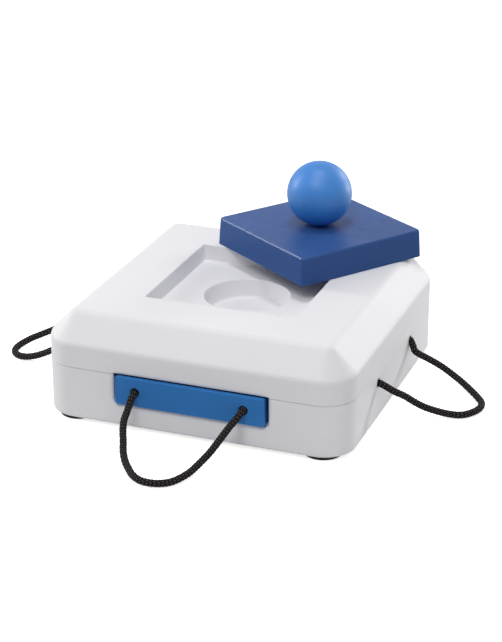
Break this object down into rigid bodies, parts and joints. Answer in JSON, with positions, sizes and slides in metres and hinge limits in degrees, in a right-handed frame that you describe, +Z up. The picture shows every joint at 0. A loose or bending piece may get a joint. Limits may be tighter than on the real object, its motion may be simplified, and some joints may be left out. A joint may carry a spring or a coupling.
{
  "type": "dog puzzle toy",
  "caption": "Square two-part plastic case with a rope-pull drawer, a recess and cup for treats in its top, a loose lid with a ball handle, and cord loops on the sides.",
  "frame": {"origin": "on the floor under the middle of the square case", "axes": "+Z up; -Y out of the drawer's front; +X to the right, seen from the drawer's side"},
  "size_m": [0.3545, 0.3297, 0.1436],
  "materials": {
    "shell_plastic": "fine satin moulded texture, cool light grey",
    "drawer_plastic": "satin moulded, mid blue",
    "lid_plastic": "satin moulded, dark blue",
    "ball_plastic": "semi-gloss, bright blue",
    "rope_cord": "braided black cord",
    "foot_rubber": "matte black rubber",
    "screw_steel": "plain zinc-plated steel"
  },
  "bodies": {
    "case": {"lower_shell": "shell_plastic", "upper_shell": "shell_plastic", "foot_front_left": "foot_rubber", "foot_front_right": "foot_rubber", "foot_rear_left": "foot_rubber", "foot_rear_right": "foot_rubber", "case_screws": "screw_steel", "left_rope": "rope_cord", "right_rope": "rope_cord", "left_rope_knot_front": "rope_cord", "left_rope_knot_rear": "rope_cord", "right_rope_knot_front": "rope_cord", "right_rope_knot_rear": "rope_cord"},
    "drawer": {"drawer": "drawer_plastic", "drawer_rope": "rope_cord", "drawer_rope_knot_left": "rope_cord", "drawer_rope_knot_right": "rope_cord"},
    "lid": {"lid": "lid_plastic", "ball_knob": "ball_plastic", "knob_screw": "screw_steel", "knob_washer": "screw_steel"}
  },
  "joints": [
    {"name": "drawer_slide", "type": "slide", "parent": "case", "child": "drawer", "axis": [0, -1, 0], "range_m": [0, 0.08]},
    {"name": "lid_lift", "type": "slide", "parent": "case", "child": "lid", "axis": [0, 0, 1], "range_m": [0, 0.08]}
  ]
}
